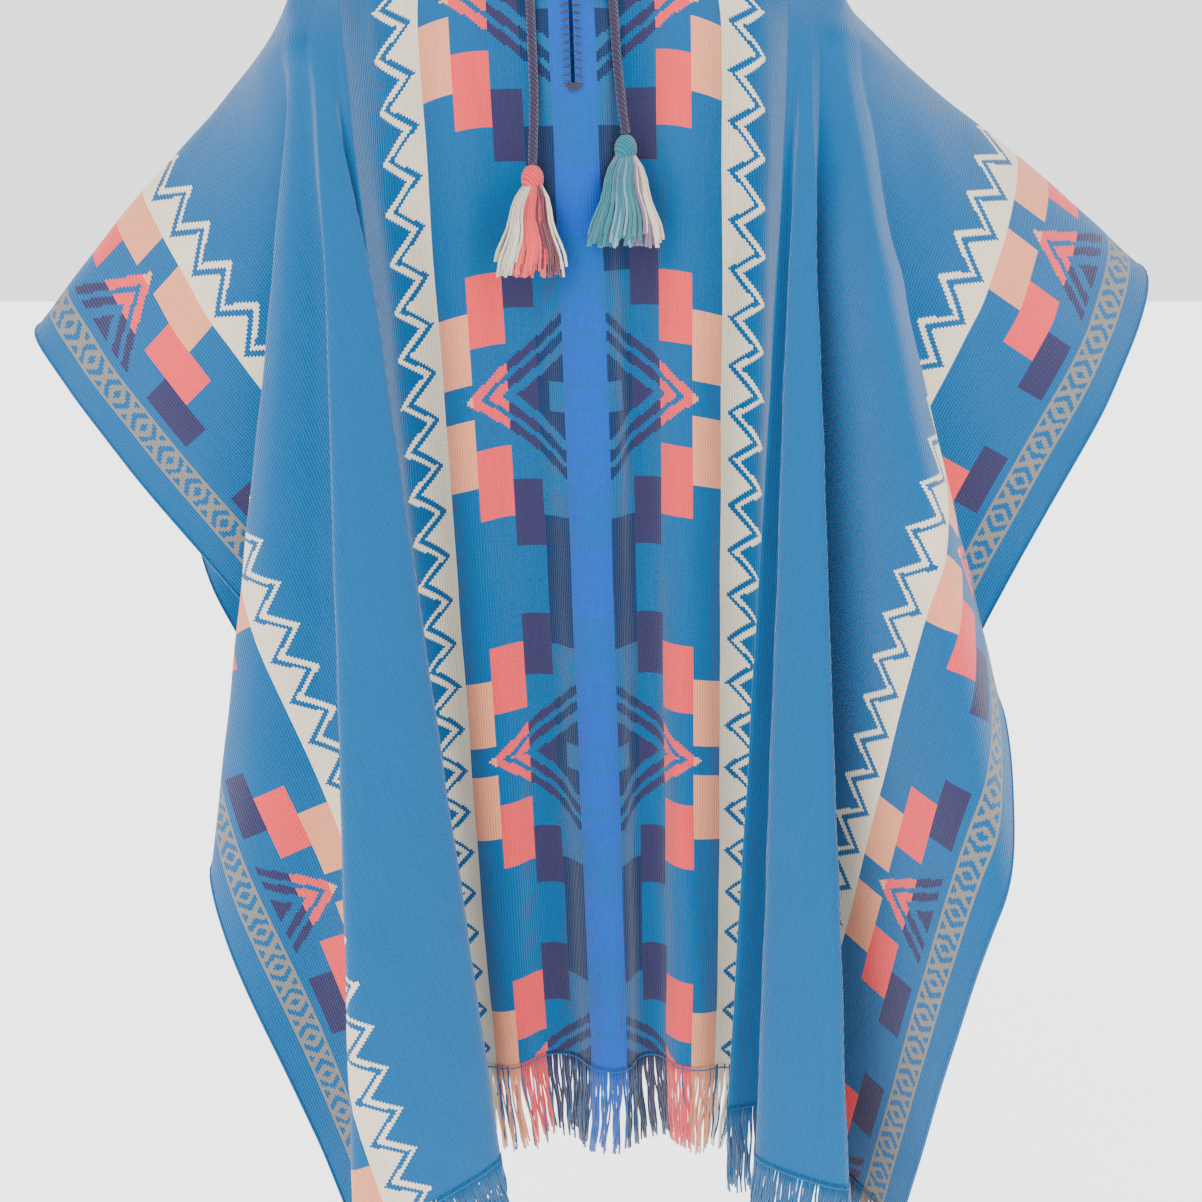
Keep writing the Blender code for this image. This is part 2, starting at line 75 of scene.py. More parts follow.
# Each fold table has a row for each crest and hollow of one side, from the flat centre out to
# the arm: name, degrees outward from plumb, degrees forward of the shoulder.
FRONT_LEFT = [
    ("centre edge", -5.5, 1.5),
    ("front wall", -3.0, 0.5),
    ("front inside", -4.0, 2.0),
    ("front brow", -7.0, 3.5),
    ("front crest", -0.5, 5.0),
    ("front underside", -0.5, 2.5),
    ("side face", 1.5, 1.5),
    ("side brow", 7.0, 0.5),
    ("side crest", 9.0, -1.0),
    ("side hollow", 1.5, -2.5),
    ("arm start", 6.5, -3.5),
    ("arm front", 24.0, -6.5),
    ("arm side", 34.5, -8.5),
    ("arm edge", 42.0, -10.5),
    ("arm line", 41.5, -17.0),
]
FRONT_RIGHT = [
    ("centre edge", -2.0, 2.0),
    ("front wall", 0.0, 1.5),
    ("front inside", 0.0, 3.0),
    ("front brow", -1.0, 4.5),
    ("front crest", 3.0, 5.5),
    ("front underside", 2.5, 3.5),
    ("side face", 2.5, 1.5),
    ("side brow", 11.5, 8.0),
    ("side crest", 15.0, 3.5),
    ("side hollow", 15.0, 0.5),
    ("arm start", 15.5, 0.0),
    ("arm front", 24.0, -2.0),
    ("arm side", 36.0, -4.5),
    ("arm edge", 51.0, -11.5),
    ("arm line", 51.0, -18.5),
]
BACK_LEFT = [
    ("centre edge", -4.0, 2.0),
    ("back wall", -1.5, 1.5),
    ("back inside", -1.5, 3.0),
    ("back brow", -3.5, 4.5),
    ("back crest", 2.0, 6.0),
    ("back underside", 1.5, 3.0),
    ("side face", 4.5, 1.5),
    ("side brow", 9.5, 5.5),
    ("side crest", 11.5, 4.0),
    ("side hollow", 9.0, 1.0),
    ("arm start", 14.5, 2.0),
    ("arm back", 26.0, 12.0),
    ("arm side", 35.0, 19.0),
    ("arm edge", 42.0, 23.5),
    ("arm line", 41.5, 17.0),
]
BACK_RIGHT = [
    ("centre edge", -3.0, 2.0),
    ("back wall", -0.5, 1.5),
    ("back inside", -0.5, 3.0),
    ("back brow", -2.5, 5.0),
    ("back crest", 3.0, 6.0),
    ("back underside", 2.5, 3.0),
    ("side face", 6.0, 2.0),
    ("side brow", 11.5, 6.0),
    ("side crest", 12.5, 4.5),
    ("side hollow", 12.5, 1.0),
    ("arm start", 18.0, 2.5),
    ("arm back", 31.0, 14.0),
    ("arm side", 42.0, 20.5),
    ("arm edge", 51.0, 24.5),
    ("arm line", 51.0, 18.5),
]

# The flat centre gathers in shallow folds: u, then the share of the row's turn there,
# plus when the cloth comes forward toward +X.
FRONT_CENTRE = [
    (-0.200, -1.2), (-0.165, -1.2), (-0.140, 0.2), (-0.120, 0.6), (-0.100, 0.0), (-0.080, -0.5),
    (-0.060, 0.0), (-0.030, 0.7), (0.005, 0.1), (0.030, -0.9), (0.050, 0.0), (0.070, 0.8),
    (0.095, 0.0), (0.120, -0.5), (0.140, 0.0), (0.165, 1.3), (0.200, 1.3),
]
BACK_CENTRE = [
    (-0.200, -0.9), (-0.160, -0.8), (-0.130, 0.1), (-0.105, 0.7), (-0.080, 0.1), (-0.050, -0.7),
    (-0.020, 0.1), (0.010, 0.6), (0.040, -0.1), (0.070, -0.7), (0.100, 0.0), (0.125, 0.6),
    (0.150, 0.2), (0.170, 0.9), (0.200, 0.9),
]

# Cord routes in the cut: name, then u, v and height of the cord's axis over the cloth.
CORD_ROUTES = {
    "left": [(-0.0300, 0.0600, 0.0058), (-0.0300, 0.0700, 0.0050), (-0.0300, 0.0900, 0.0049),
             (-0.0296, 0.1300, 0.0050), (-0.0292, 0.1700, 0.0056), (-0.0294, 0.2050, 0.0086),
             (-0.0296, 0.2240, 0.0110)],
    "right": [(0.0300, 0.0600, 0.0058), (0.0302, 0.0700, 0.0050), (0.0306, 0.0900, 0.0049),
              (0.0312, 0.1200, 0.0050), (0.0322, 0.1500, 0.0056), (0.0334, 0.1850, 0.0086),
              (0.0344, 0.2040, 0.0110)],
}
BUTTON_PLACE = (0.0160, 0.0985)


def smooth(share):
    share = np.clip(share, 0.0, 1.0)
    return share * share * (3.0 - 2.0 * share)


def smooth_path(points, per_span=20):
    """A smooth curve through the points, sampled evenly between each pair."""
    points = np.asarray(points, float)
    spans = np.sqrt(np.linalg.norm(np.diff(points, axis=0), axis=1))
    knots = np.concatenate([[0.0], np.cumsum(spans)])
    slopes = np.gradient(points, knots, axis=0)
    pieces = []
    for i, span in enumerate(spans):
        t = np.linspace(0.0, 1.0, per_span, endpoint=False)[:, None]
        start = (2 * t**3 - 3 * t**2 + 1) * points[i] + (t**3 - 2 * t**2 + t) * span * slopes[i]
        end = (3 * t**2 - 2 * t**3) * points[i + 1] + (t**3 - t**2) * span * slopes[i + 1]
        pieces.append(start + end)
    pieces.append(points[-1:])
    return np.vstack(pieces)


def directions(angles):
    """Unit vectors from degrees outward and degrees forward of plumb."""
    outward = np.radians(angles[:, 0])
    forward = np.radians(angles[:, 1])
    level = np.cos(forward)
    return np.stack([np.sin(outward) * level, -np.sin(forward), -np.cos(outward) * level], axis=1)


def fold_fan(rows):
    """The fan of cloth lines below one shoulder.

    The cloth there turns through a right angle of the cut, so the folds are made just as deep
    as it takes for the fan's arc to be a right angle too."""
    angles = np.array([[outward, forward] for name, outward, forward in rows])
    reach = np.maximum.accumulate(angles[:, 0])
    share = (reach - angles[0, 0]) / (reach[-1] - angles[0, 0])
    even = angles[0, 1] + share * (angles[-1, 1] - angles[0, 1])
    low, high = 0.0, 3.0
    for _ in range(40):
        depth = 0.5 * (low + high)
        trial = angles.copy()
        trial[:, 1] = even + depth * (angles[:, 1] - even)
        fan = directions(smooth_path(trial))
        steps = np.linalg.norm(np.diff(fan, axis=0), axis=1)
        if steps.sum() > 0.5 * math.pi:
            high = depth
        else:
            low = depth
    turn = np.concatenate([[0.0], np.cumsum(steps)])
    turn *= 0.5 * math.pi / turn[-1]
    middle = 0.5 * (angles[0] + angles[-1]) + np.array([0.0, 6.0])
    calm = directions(np.array([angles[0], middle, angles[-1]]))
    return turn, fan, calm


FANS = {
    ("front", -1): fold_fan(FRONT_LEFT),
    ("front", 1): fold_fan(FRONT_RIGHT),
    ("back", -1): fold_fan(BACK_LEFT),
    ("back", 1): fold_fan(BACK_RIGHT),
}
CENTRES = {"front": FRONT_CENTRE, "back": BACK_CENTRE}


def side_cloth(face, side, outward, v):
    """Cloth outside the flat centre: lines that fan out from the shoulder, x outward."""
    turn, fan, calm = FANS[(face, side)]
    reach = np.hypot(outward, v)
    angle = np.arctan2(outward, np.maximum(v, 0.0))
    folded = np.stack([np.interp(angle, turn, fan[:, i]) for i in range(3)], axis=-1)
    t = (angle / (0.5 * math.pi))[..., None]
    plain = (1 - t) ** 2 * calm[0] + 2 * t * (1 - t) * calm[1] + t**2 * calm[2]
    plain /= np.linalg.norm(plain, axis=-1, keepdims=True)
    fullness = smooth((reach - FOLDS_START) / (FOLDS_FULL - FOLDS_START))[..., None]
    way = plain * (1 - fullness) + folded * fullness
    way /= np.linalg.norm(way, axis=-1, keepdims=True)
    radius = CHEST_DEPTH + (ARM_ROUND - CHEST_DEPTH) * smooth(angle / (0.5 * math.pi))
    bend = np.minimum(reach / radius, 0.5 * math.pi)
    slack = ARM_SLACK * smooth(reach / 0.2) * (1 - smooth((reach - 0.22) / 0.16))
    place = way * (reach - slack * np.sin(angle) ** 2)[..., None]
    place[..., 0] += SHOULDER_X + ARM_ROUND * np.sin(angle) * np.sin(bend)
    forward = 1 - np.minimum(angle / (0.5 * math.pi), 1.0) ** ARM_FULLNESS
    place[..., 1] -= CHEST_DEPTH * forward * np.sin(bend)
    place[..., 2] += radius * (bend - 1 + np.cos(bend)) - SHOULDER_DROP
    return place


def centre_row(face, v, count=161):
    """One row across the flat centre, gathered until it spans between the two side fans."""
    u = np.linspace(-FLAT_HALF, FLAT_HALF, count)
    start = side_cloth(face, -1, np.zeros(1), np.array([v]))[0] * [-1, 1, 1]
    end = side_cloth(face, 1, np.zeros(1), np.array([v]))[0]
    table = np.array(CENTRES[face])
    share = np.interp(u, table[:, 0], table[:, 1])
    weights = np.hanning(11)
    share = np.convolve(np.pad(share, 5, mode="edge"), weights / weights.sum(), mode="valid")
    middle = 0.5 * (share[1:] + share[:-1])
    step = u[1] - u[0]
    low, high = 0.0, 1.6
    for _ in range(30):
        turn = 0.5 * (low + high)
        if np.cos(turn * middle).sum() * step > end[0] - start[0]:
            low = turn
        else:
            high = turn
    along = (u + FLAT_HALF) / (2 * FLAT_HALF)
    fullness = smooth(v / NECK_GATHER)
    x = np.concatenate([[0.0], np.cumsum(np.cos(turn * middle)) * step])
    y = -np.concatenate([[0.0], np.cumsum(np.sin(turn * middle)) * step])
    x = (x - x[-1] * along) * fullness + start[0] + (end[0] - start[0]) * along
    y = (y - y[-1] * along) * fullness + start[1] + (end[1] - start[1]) * along
    z = start[2] + (end[2] - start[2]) * along
    lift = SHOULDER_DROP * smooth((FLAT_HALF - np.abs(u)) / (FLAT_HALF - NECK_RADIUS))
    z += lift * (1 - CENTRE_LIFT_FADE * smooth(v / 0.7))
    return u, np.stack([x, y, z], axis=-1)


def cloth(face, u, v):
    """Draped places of the cut's points (u, v) on the front or back panel."""
    u = np.asarray(u, float)
    v = np.asarray(v, float)
    place = np.zeros(u.shape + (3,))
    for side in (-1, 1):
        outside = u * side >= FLAT_HALF
        if outside.any():
            part = side_cloth(face, side, np.abs(u[outside]) - FLAT_HALF, v[outside])
            part[..., 0] *= side
            place[outside] = part
    inside = np.abs(u) < FLAT_HALF
    if inside.any():
        across, down = u[inside], v[inside]
        part = np.zeros((across.size, 3))
        rows, which = np.unique(np.round(down, 6), return_inverse=True)
        for i, row in enumerate(rows):
            row_u, row_place = centre_row(face, row)
            here = which == i
            for k in range(3):
                part[here, k] = np.interp(across[here], row_u, row_place[:, k])
        place[inside] = part
    place[..., 2] += place[..., 0] * SIDE_PULL * smooth(v / 0.35) * (0.6 + 0.4 * v / LENGTH)
    place[..., 1] -= 0.5 * SEAM_GAP
    if face == "back":
        place[..., 1] *= -1
    return place


def wall_normals(face, u, v, step=0.004):
    """Unit vectors out of the draped cloth, away from the wearer's side."""
    across = cloth(face, u + step, v) - cloth(face, u - step, v)
    down = cloth(face, u, v + step) - cloth(face, u, np.maximum(v - step, 0.0))
    normals = np.cross(across, down)
    if face == "front":
        normals = -normals
    return normals / np.linalg.norm(normals, axis=-1, keepdims=True)


def frame_at(face, u, v, step=0.002):
    """Place, outward normal and downward direction of the draped cloth at one point."""
    spots_v = np.array([v, v + step, v - step])
    place = cloth(face, np.array([u, u, u]), spots_v)
    normal = wall_normals(face, np.array([u]), np.array([v]))[0]
    return Vector(place[0]), Vector(normal), Vector(place[1] - place[2]).normalized()


def neck_route(count=56):
    """The binding's axis, just inside the neck hole, from slit edge round the back."""
    reach = NECK_RADIUS - BINDING_INSET
    opening = math.asin((SLIT_HALF + 0.0045) / reach)
    points = []
    for angle in np.linspace(-0.5 * math.pi + opening, 1.5 * math.pi - opening, count):
        u = reach * math.cos(angle)
        v = reach * math.sin(angle)
        face = "back" if v > 0 else "front"
        points.append(cloth(face, np.array([u]), np.array([abs(v)]))[0])
    return points


def cord_route(side):
    """The cord's axis: a smooth curve over the chest through the route's rows."""
    points = []
    for u, v, height in smooth_path(CORD_ROUTES[side], per_span=3):
        place, normal, down = frame_at("front", u, v)
        points.append(place + normal * height)
    return points


def chest_depth_at(spots, x, z):
    """How far forward the front panel reaches behind a tassel's skirt at one height."""
    near = (np.abs(spots[:, 0] - x) < 0.040) & (np.abs(spots[:, 2] - z) < 0.012)
    return spots[near, 1].min() if near.any() else spots[:, 1].min()


# Looks: driving sizes
WARP = 0.0022
WEFT = 0.0019
REPEAT = 0.290
FIRST_ROW = 0.105
ZIGZAG_PERIOD = REPEAT / 8
ZIGZAG_HEIGHT = 0.022
FRINGE_STRANDS = 980
FRINGE_REACH = 0.084
STRAND_RADIUS = 0.00085
TASSEL_STRANDS = 170
STRAND_STEPS = 8
LOCK_WIDTH = 0.010
SELVAGE_RADIUS = 0.0011
HEM_RADIUS = 0.0010
SKIRT_STRAND_RADIUS = 0.0010
TASSEL_HEAD = (0.0085, 0.0075, 0.0105)
HEAD_DROP = 0.0110
SKIRT_DROP = 0.016
STITCH_PITCH = 0.0055
STITCH_RADIUS = 0.0009
BUTTON_SIDES = 40
THREAD_HALF = 0.0022
THREAD_RADIUS = 0.0005
FLOOR_HALF_WIDTH = 9
FLOOR_NEAR = -6
FLOOR_FAR = 14
FLOOR_Z = -1.45
CAMERA_PLACE = (0.029, -1.295, -0.173)
CAMERA_PITCH = 15.4
CAMERA_LENS = 47.8

# Columns and rows of the fine net: over the flat centre, each fan, each arm, slit and panel
NET_FLAT = 46
NET_FAN = 60
NET_ARM = 46
SLIT_ROWS = 12
PANEL_ROWS = 84

# Places across the cut where its figured stripes begin and end
CENTRE_EDGE = 0.122
SIDE_START = 0.453
SIDE_END = 0.527
SIDE_MIRROR = 0.575
BAND_MIDDLE = 0.5455
BAND_HALF = 0.0105
BAND_CELL = 0.0085

# The stepped blocks of half a repeat: inner edge, outer edge, then start and end as its shares
BLOCKS = [
    (0.000, 0.018, 0.410, 0.600), (0.018, 0.044, 0.320, 0.600), (0.044, 0.069, 0.226, 0.404),
    (0.069, 0.096, 0.135, 0.322), (0.096, 0.1225, 0.045, 0.230),
]

# The diamond: its slope, its outlines, its filled middle, and the notch and the heart in that
DIAMOND_SLOPE = 0.74
DIAMOND_LINES = [(0.092, 0.103), (0.074, 0.085)]
DIAMOND_MIDDLE = 0.062
NOTCH = (0.033, 0.011)
HEART = (0.014, 0.007)

# Yarn base colours, darker than they show in the bright studio light: parts of 255
YARNS = {
    "ground": (3, 82, 132), "cream": (218, 205, 178), "peach": (222, 140, 104),
    "coral": (224, 62, 68), "purple": (44, 41, 76), "navy": (5, 38, 78),
    "royal": (0, 72, 165), "taupe": (118, 112, 104), "cord": (50, 42, 66),
    "ecru": (202, 192, 170), "maroon": (100, 36, 52), "teal": (26, 110, 124),
    "sky": (100, 148, 174), "mauve": (128, 98, 128), "wood": (150, 108, 72),
}

# The stripes of the cut, from the centre line out: outer edge, then yarn.
STRIPES = [
    (0.018, "royal"), (0.044, "navy"), (0.069, "purple"), (0.096, "coral"), (0.122, "peach"),
    (0.160, "cream"), (0.415, "ground"), (0.453, "cream"), (0.478, "peach"), (0.503, "coral"),
    (0.527, "purple"), (0.535, "ground"), (0.556, "taupe"), (0.580, "ground"),
]

# Creases of each panel: name, u, v, half length, half width, lean in degrees, height.
CREASES = {
    "front": [
        ("left chest", -0.150, 0.190, 0.110, 0.014, 12, 0.0040),
        ("right chest", 0.140, 0.230, 0.120, 0.013, -10, 0.0035),
        ("left shoulder", -0.270, 0.080, 0.070, 0.016, 55, 0.0050),
        ("right shoulder", 0.275, 0.075, 0.075, 0.015, -58, 0.0050),
        ("left arm", -0.430, 0.170, 0.090, 0.020, 70, 0.0045),
        ("right arm", 0.440, 0.190, 0.100, 0.019, -66, 0.0045),
        ("middle", 0.025, 0.420, 0.160, 0.012, 3, 0.0030),
        ("low left", -0.080, 0.700, 0.180, 0.013, -4, 0.0030),
        ("low right", 0.090, 0.760, 0.170, 0.012, 5, 0.0030),
        ("neck pull", 0.050, 0.100, 0.045, 0.008, -35, 0.0025),
        ("neck pull left", -0.050, 0.105, 0.050, 0.008, 32, 0.0025),
    ],
    "back": [
        ("left blade", -0.130, 0.200, 0.120, 0.014, 10, 0.0040),
        ("right blade", 0.150, 0.210, 0.110, 0.014, -12, 0.0035),
        ("left shoulder", -0.275, 0.085, 0.075, 0.015, 54, 0.0050),
        ("right shoulder", 0.270, 0.080, 0.070, 0.016, -57, 0.0050),
        ("left arm", -0.440, 0.180, 0.095, 0.019, 68, 0.0045),
        ("right arm", 0.430, 0.200, 0.090, 0.020, -70, 0.0045),
        ("middle", -0.020, 0.450, 0.170, 0.012, -3, 0.0030),
        ("low", 0.070, 0.740, 0.170, 0.013, 4, 0.0030),
    ],
}


def linear(name):
    """A yarn's colour in the scene's linear values."""
    shares = np.array(YARNS[name]) / 255.0
    low = shares / 12.92
    high = ((shares + 0.055) / 1.055) ** 2.4
    return tuple(np.where(shares <= 0.04045, low, high)) + (1.0,)


def dressed(face, u, v):
    """The draped cloth with its creases and a slight unevenness of the weave."""
    u = np.asarray(u, float)
    v = np.asarray(v, float)
    rise = np.zeros(u.shape)
    for name, at_u, at_v, length, width, lean, height in CREASES[face]:
        turn = math.radians(lean)
        along = (u - at_u) * math.sin(turn) + (v - at_v) * math.cos(turn)
        across = (u - at_u) * math.cos(turn) - (v - at_v) * math.sin(turn)
        rise += height * np.exp(-((along / length) ** 2) - (across / width) ** 2)
    rise += 0.0006 * np.sin(u * 61 + 1.3 * np.sin(v * 17)) * np.sin(v * 43 + 2.1 * np.sin(u * 23))
    rise *= smooth(v / 0.05) * smooth((LENGTH + 0.02 - v) / 0.10)
    return cloth(face, u, v) + wall_normals(face, u, v, 0.003) * rise[..., None]


class Nodes:
    """Short calls for building a shader from numbers and sockets."""

    def __init__(self, name):
        self.material = bpy.data.materials.new(name)
        self.material.use_nodes = True
        self.tree = self.material.node_tree
        self.shader = self.tree.nodes["Principled BSDF"]

    def new(self, kind):
        return self.tree.nodes.new(kind)

    def join(self, source, socket):
        if isinstance(source, (int, float, tuple)):
            socket.default_value = source
        else:
            self.tree.links.new(source, socket)

    def math(self, operation, first, second=None):
        node = self.new("ShaderNodeMath")
        node.operation = operation
        self.join(first, node.inputs[0])
        if second is not None:
            self.join(second, node.inputs[1])
        return node.outputs[0]

    def times(self, first, second):
        return self.math("MULTIPLY", first, second)

    def over(self, value, limit):
        return self.math("GREATER_THAN", value, limit)

    def under(self, value, limit):
        return self.math("LESS_THAN", value, limit)

    def between(self, value, low, high):
        return self.times(self.over(value, low), self.under(value, high))

    def either(self, first, *others):
        for other in others:
            first = self.math("MAXIMUM", first, other)
        return first

    def paint(self, base, colour, mask):
        node = self.new("ShaderNodeMix")
        node.data_type = "RGBA"
        self.join(mask, node.inputs[0])
        self.join(base, node.inputs[6])
        self.join(colour, node.inputs[7])
        return node.outputs[2]

    def threads(self, value, pitch):
        """The value at the middle of its own thread."""
        count = self.math("FLOOR", self.math("DIVIDE", value, pitch))
        return self.times(self.math("ADD", count, 0.5), pitch)

    def noise(self, vector, scale, detail=2.0):
        node = self.new("ShaderNodeTexNoise")
        self.tree.links.new(vector, node.inputs["Vector"])
        node.inputs["Scale"].default_value = scale
        node.inputs["Detail"].default_value = detail
        return node.outputs[0]

    def uneven(self, colour, value):
        node = self.new("ShaderNodeHueSaturation")
        self.join(colour, node.inputs["Color"])
        self.join(value, node.inputs["Value"])
        return node.outputs[0]

    def bump(self, height, distance, strength=0.6):
        node = self.new("ShaderNodeBump")
        self.join(height, node.inputs["Height"])
        node.inputs["Distance"].default_value = distance
        node.inputs["Strength"].default_value = strength
        self.tree.links.new(node.outputs[0], self.shader.inputs["Normal"])

    def finish(self, colour, roughness=0.95, sheen=0.25):
        self.join(colour, self.shader.inputs["Base Color"])
        self.shader.inputs["Roughness"].default_value = roughness
        self.shader.inputs["Specular IOR Level"].default_value = 0.12
        self.shader.inputs["Sheen Weight"].default_value = sheen
        return self.material


def woven_material():
    """Plain weave with the poncho's figure, worked out from each thread's place in the cut."""
    n = Nodes("woven_cloth")
    place = n.new("ShaderNodeUVMap")
    place.uv_map = "cut"
    parts = n.new("ShaderNodeSeparateXYZ")
    n.tree.links.new(place.outputs[0], parts.inputs[0])
    u, v = parts.outputs[0], parts.outputs[1]
    across = n.math("ABSOLUTE", n.threads(u, WARP))
    down = n.threads(v, WEFT)
    row = n.math("PINGPONG", n.math("SUBTRACT", down, FIRST_ROW), REPEAT / 2)
    centre = n.under(across, CENTRE_EDGE)
    side = n.between(across, SIDE_START, SIDE_END)
    mirrored = n.math("SUBTRACT", SIDE_MIRROR, across)
    a = n.math("ADD", n.times(across, centre), n.times(mirrored, side))
    figure = 0.0
    for low, high, start, end in BLOCKS:
        within = n.between(a, low - 0.0001, high)
        block = n.times(within, n.between(row, start * REPEAT, end * REPEAT))
        figure = n.either(block, figure)
    diamond = n.math("ADD", a, n.math("DIVIDE", row, DIAMOND_SLOPE))
    notch = n.times(n.under(a, NOTCH[0]), n.under(row, NOTCH[1]))
    inner = n.times(n.under(diamond, DIAMOND_MIDDLE), n.math("SUBTRACT", 1.0, notch))
    heart = n.times(n.under(a, HEART[0]), n.under(row, HEART[1]))
    lines = [n.between(diamond, low, high) for low, high in DIAMOND_LINES]
    figure = n.either(figure, *lines, inner, heart)
    figure = n.times(figure, n.either(centre, side))
    column = linear("peach")
    for edge, yarn in ((0.096, "coral"), (0.069, "purple"), (0.044, "navy"), (0.018, "royal")):
        column = n.paint(column, linear(yarn), n.under(a, edge))
    colour = n.paint(linear("ground"), linear("royal"), n.times(n.under(across, 0.018), 0.55))
    colour = n.paint(colour, column, figure)
    for edge, sign, start in ((CENTRE_EDGE, 1.0, 0.020), (SIDE_START, -1.0, 0.005)):
        out = n.times(n.math("SUBTRACT", across, edge), sign)
        wave = n.math("PINGPONG", n.math("SUBTRACT", down, start), ZIGZAG_PERIOD / 2)
        slope = ZIGZAG_HEIGHT / (ZIGZAG_PERIOD / 2)
        height = n.math("SUBTRACT", ZIGZAG_HEIGHT, n.times(wave, slope))
        beyond = n.math("SUBTRACT", out, height)
        cream = n.either(n.under(beyond, 0.004), n.between(beyond, 0.010, 0.016))
        colour = n.paint(colour, linear("cream"), n.times(cream, n.between(out, 0.0, 0.045)))
    aside = n.math("ABSOLUTE", n.math("SUBTRACT", across, BAND_MIDDLE))
    middle = n.math("DIVIDE", aside, BAND_HALF)
    cell = n.math("DIVIDE", n.math("PINGPONG", down, BAND_CELL), BAND_CELL)
    turn = n.math("ADD", n.math("DIVIDE", down, 2 * BAND_CELL), 0.5)
    odd = n.math("MODULO", n.math("FLOOR", turn), 2.0)
    ring = n.between(n.math("ADD", middle, cell), 0.48, 1.05)
    cross = n.under(n.math("ABSOLUTE", n.math("SUBTRACT", middle, cell)), 0.32)
    mark = n.either(n.times(ring, odd), n.times(cross, n.math("SUBTRACT", 1.0, odd)))
    mark = n.either(mark, n.over(middle, 0.86))
    band = n.between(across, BAND_MIDDLE - BAND_HALF, BAND_MIDDLE + BAND_HALF)
    colour = n.paint(colour, linear("taupe"), n.times(mark, band))
    stretched = n.new("ShaderNodeCombineXYZ")
    n.join(n.times(u, 22.0), stretched.inputs[0])
    n.join(v, stretched.inputs[1])
    streak = n.noise(stretched.outputs[0], 28.0)
    fleck = n.noise(place.outputs[0], 420.0)
    rib = n.math("SINE", n.times(u, 2 * math.pi / WARP))
    pick = n.math("SINE", n.times(v, 2 * math.pi / WEFT))
    relief = n.math("ADD", n.times(rib, 0.6), n.times(pick, 0.35))
    relief = n.math("ADD", relief, n.times(fleck, 0.8))
    value = n.math("ADD", 0.86, n.math("ADD", n.times(streak, 0.20), n.times(fleck, 0.14)))
    # Painted shade: each thread's colour is lighter where the rib and pick sines raise the bump and
    # darker where they sink it; the streaks and flecks above are the yarn's own tone.
    value = n.math("ADD", value, n.times(n.math("ADD", rib, pick), 0.035))
    n.bump(relief, 0.0005)
    return n.finish(n.uneven(colour, value))


def yarn_material(name):
    """Loose yarn whose colour is kept on each strand."""
    n = Nodes(name)
    colour = n.new("ShaderNodeAttribute")
    colour.attribute_name = "yarn"
    place = n.new("ShaderNodeTexCoord")
    fleck = n.noise(place.outputs["Object"], 600.0)
    value = n.math("ADD", 0.85, n.times(fleck, 0.3))
    return n.finish(n.uneven(colour.outputs["Color"], value), sheen=0.4)


def braid_material(name, yarn):
    """A tight braid: small slanting ridges on yarn of one colour, with painted shade: lighter on
    each ridge's crest and darker in its groove.
    """
    n = Nodes(name)
    place = n.new("ShaderNodeTexCoord")
    wave = n.new("ShaderNodeTexWave")
    wave.bands_direction = "DIAGONAL"
    n.tree.links.new(place.outputs["Object"], wave.inputs["Vector"])
    wave.inputs["Scale"].default_value = 170.0
    wave.inputs["Distortion"].default_value = 1.5
    n.bump(wave.outputs[1], 0.0012, 0.8)
    # Painted shade: the wave that raises the ridges also lightens their crests and darkens their
    # grooves.
    value = n.math("ADD", 0.75, n.times(wave.outputs[1], 0.45))
    return n.finish(n.uneven(linear(yarn), value), sheen=0.3)


def wood_material():
    """Fine-grained pale wood with a soft shine."""
    n = Nodes("button_wood")
    place = n.new("ShaderNodeTexCoord")
    squeeze = n.new("ShaderNodeMapping")
    squeeze.inputs["Scale"].default_value = (1.0, 0.2, 1.0)
    n.tree.links.new(place.outputs["Object"], squeeze.inputs[0])
    grain = n.noise(squeeze.outputs[0], 900.0, 4.0)
    value = n.math("ADD", 0.75, n.times(grain, 0.5))
    return n.finish(n.uneven(linear("wood"), value), roughness=0.45, sheen=0.0)


def new_piece(name, mesh, material, slot, *nodes):
    """A shown piece that moves with the part, wears one material slot and stands for CAD nodes; the
    slot argument is not used.
    """
    piece = bpy.data.objects.new(name, mesh)
    mesh.materials.append(material)
    bpy.context.scene.collection.objects.link(piece)
    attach(piece, "root")
    if nodes:
        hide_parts(*nodes)
    return piece


def mesh_of(name, points, faces, smooth_faces=True):
    mesh = bpy.data.meshes.new(name)
    mesh.from_pydata([tuple(point) for point in points], [], faces)
    mesh.polygons.foreach_set("use_smooth", [smooth_faces] * len(mesh.polygons))
    mesh.update()
    return mesh


def strand_mesh(name, paths, radius, colours, sides=4):
    """Thin tubes along many paths of equal count, each strand with its own colour."""
    paths = np.asarray(paths, float)
    strands, count = paths.shape[:2]
    forward = np.gradient(paths, axis=1)
    forward /= np.linalg.norm(forward, axis=-1, keepdims=True) + 1e-12
    helper = np.zeros_like(forward)
    helper[..., 1] = 1.0
    helper[np.abs(forward[..., 1]) > 0.9] = (1.0, 0.0, 0.0)
    first = np.cross(forward, helper)
    first /= np.linalg.norm(first, axis=-1, keepdims=True) + 1e-12
    second = np.cross(forward, first)
    points = []
    for k in range(sides):
        angle = 2 * math.pi * k / sides
        points.append(paths + radius * (first * math.cos(angle) + second * math.sin(angle)))
    points = np.stack(points, axis=2).reshape(-1, 3)
    faces = []
    for s in range(strands):
        for j in range(count - 1):
            base = (s * count + j) * sides
            for k in range(sides):
                n = (k + 1) % sides
                faces.append((base + k, base + n, base + sides + n, base + sides + k))
        start, end = s * count * sides, (s * count + count - 1) * sides
        faces.append(tuple(start + k for k in reversed(range(sides))))
        faces.append(tuple(end + k for k in range(sides)))
    mesh = mesh_of(name, points, faces)
    layer = mesh.color_attributes.new("yarn", "FLOAT_COLOR", "POINT")
    values = np.repeat(np.asarray(colours, float), count * sides, axis=0)
    layer.data.foreach_set("color", values.ravel())
    return mesh


